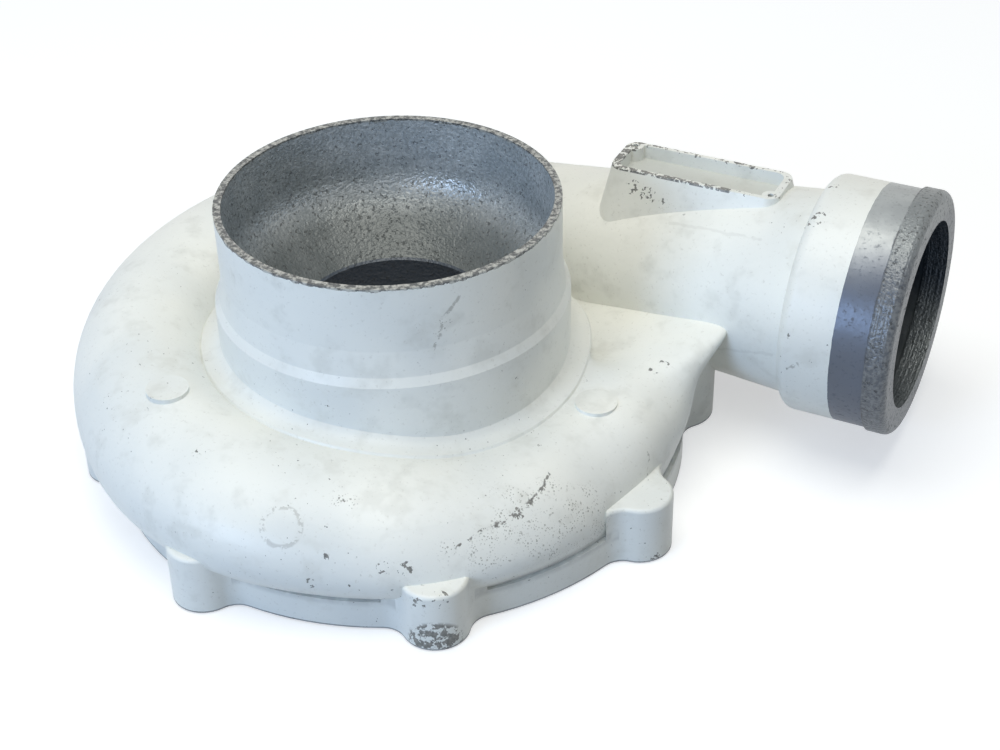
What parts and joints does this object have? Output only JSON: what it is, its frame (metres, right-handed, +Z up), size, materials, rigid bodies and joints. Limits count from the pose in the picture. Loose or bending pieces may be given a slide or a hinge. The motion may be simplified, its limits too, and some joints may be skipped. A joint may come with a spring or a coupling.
{
  "type": "compressor housing",
  "caption": "Cast centrifugal compressor housing: round upright inlet collar, spiral scroll over a lugged flange and a tangential outlet pipe with a hose bead.",
  "frame": {"origin": "centre of the flange's back face, where the inlet axis crosses it", "axes": "+Z up the inlet axis, out of the inlet collar; +X along the outlet, out of its mouth"},
  "size_m": [0.31, 0.2559, 0.1095],
  "materials": {
    "painted_casting": "white paint over a cast aluminium skin, bare and pitted in the inlet, on the outlet band and in the bores"
  },
  "bodies": {
    "root": {"compressor_housing": "painted_casting"}
  },
  "joints": []
}
